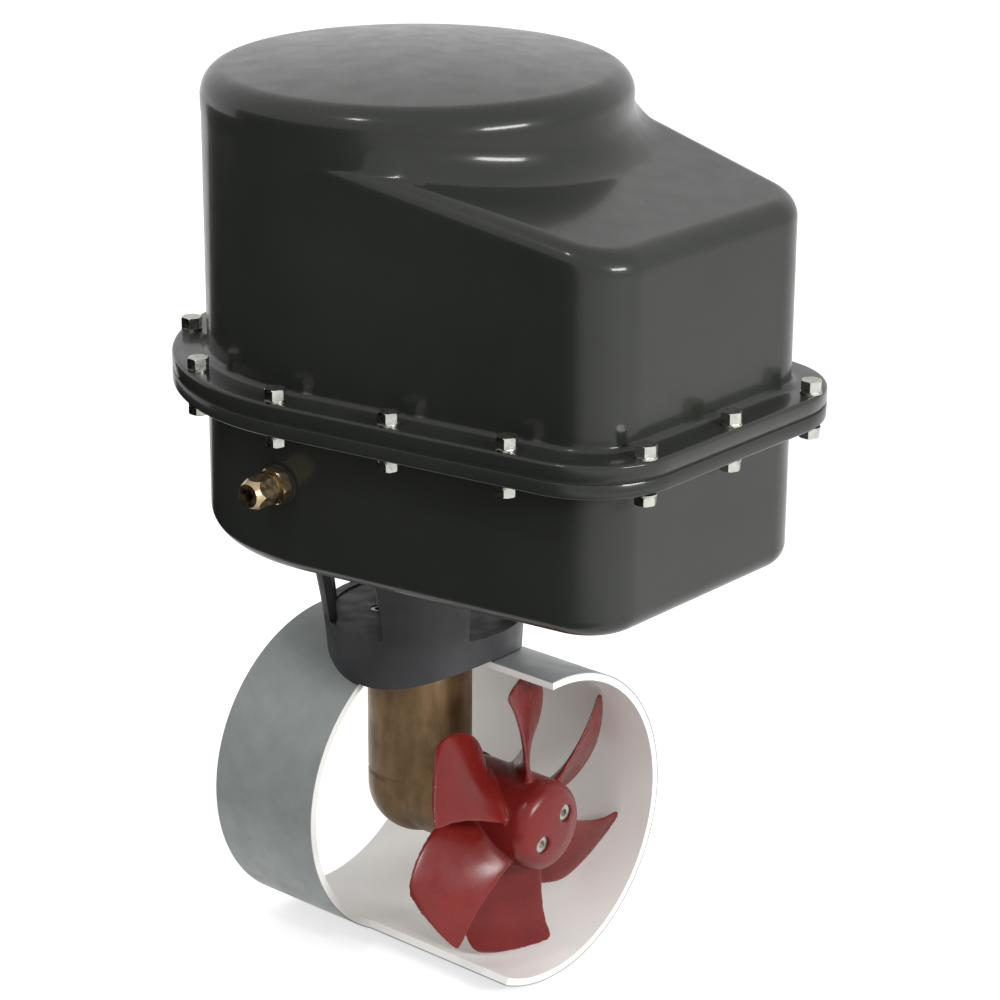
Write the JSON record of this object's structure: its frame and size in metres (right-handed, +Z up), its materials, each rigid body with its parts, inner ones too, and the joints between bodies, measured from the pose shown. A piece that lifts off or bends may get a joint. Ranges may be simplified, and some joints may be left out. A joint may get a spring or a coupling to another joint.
{
  "type": "bow thruster",
  "caption": "Electric bow thruster with a sealed motor housing, bolted flange, plinth, bronze leg and bladed propeller in a cut-away round tunnel section.",
  "frame": {"origin": "where the motor's vertical axis meets the tunnel's axis", "axes": "+X along the tunnel towards the propeller and the housing's box end, +Y across the boat's tunnel to the side with the battery glands, +Z up along the motor"},
  "size_m": [0.381, 0.3015, 0.553],
  "materials": {
    "housing_gel_coat": "glossy dark green-grey gel coat",
    "gasket_rubber": "matte black rubber",
    "stainless_steel": "stainless steel",
    "gland_brass": "turned brass",
    "plinth_paint": "black-grey painted casting",
    "tunnel_laminate": "near-white laminate, painted grey outside",
    "bronze": "cast bronze with a brown patina",
    "bearing_steel": "ground bearing steel",
    "seal_rubber": "black rubber",
    "aluminium": "machined aluminium",
    "gear_steel": "machined steel",
    "propeller_plastic": "dark red moulded plastic",
    "motor_paint": "black painted steel",
    "magnet": "ferrite",
    "copper": "copper",
    "insulator": "brown moulded insulator",
    "carbon": "graphite"
  },
  "bodies": {
    "root": {"battery_gland_bodies": "gland_brass", "battery_gland_caps": "gland_brass", "battery_gland_locknuts": "gland_brass", "battery_gland_washers": "gasket_rubber", "bearing_spacer": "aluminium", "brush_ring": "insulator", "brushes": "carbon", "bus_bars": "copper", "contactor_bracket": "stainless_steel", "contactor_cans": "motor_paint", "contactor_caps": "insulator", "contactor_coils": "copper", "drive_shaft_bearings": "bearing_steel", "drive_shaft_seal": "seal_rubber", "field_magnets": "magnet", "flange_bolts": "stainless_steel", "flange_gasket": "gasket_rubber", "flange_nuts": "stainless_steel", "flange_washers": "stainless_steel", "gearcase_cap": "bronze", "gearcase_cap_screws": "stainless_steel", "gland_body": "gland_brass", "gland_cap": "gland_brass", "gland_locknut": "gland_brass", "gland_washer": "gasket_rubber", "housing_cover": "housing_gel_coat", "housing_pan": "housing_gel_coat", "leg": "bronze", "leg_gasket": "gasket_rubber", "leg_screws": "stainless_steel", "motor_bearings": "bearing_steel", "motor_can": "motor_paint", "motor_lower_plate": "aluminium", "motor_screws": "stainless_steel", "motor_through_bolts": "stainless_steel", "motor_upper_plate": "aluminium", "pan_gasket": "gasket_rubber", "plinth": "plinth_paint", "propeller_shaft_bearing": "bearing_steel", "propeller_shaft_seal": "seal_rubber", "rear_bush": "bronze", "saddle_gasket": "gasket_rubber", "terminal_nuts": "gland_brass", "terminal_studs": "gland_brass", "tunnel_section": "tunnel_laminate"},
    "rotor": {"armature_shaft": "gear_steel", "armature_core": "gear_steel", "armature_windings": "copper", "commutator": "copper", "coupling_lower_hub": "aluminium", "coupling_upper_hub": "aluminium", "coupling_spider": "seal_rubber", "drive_shaft": "stainless_steel", "pinion_gear": "gear_steel"},
    "propeller_drive": {"propeller": "propeller_plastic", "propeller_screws": "stainless_steel", "propeller_shaft": "stainless_steel", "crown_gear": "gear_steel"},
    "near_plunger": {"contactor_plunger_near": "gear_steel"},
    "far_plunger": {"contactor_plunger_far": "gear_steel"}
  },
  "joints": [
    {"name": "motor_spin", "type": "hinge", "parent": "root", "child": "rotor", "pos_m": [0, 0, 0], "axis": [0, 0, 1], "continuous": true},
    {"name": "propeller_spin", "type": "hinge", "parent": "root", "child": "propeller_drive", "pos_m": [0, 0, 0], "axis": [1, 0, 0], "continuous": true},
    {"name": "near_plunger_slide", "type": "slide", "parent": "root", "child": "near_plunger", "axis": [0, 0, 1], "range_m": [0, 0.003], "stiffness_N_per_m": 900, "springref_m": -0.004},
    {"name": "far_plunger_slide", "type": "slide", "parent": "root", "child": "far_plunger", "axis": [0, 0, 1], "range_m": [0, 0.003], "stiffness_N_per_m": 900, "springref_m": -0.004}
  ],
  "couplings": [
    {"joint": "propeller_spin", "follows": "motor_spin", "ratio": -0.6}
  ]
}
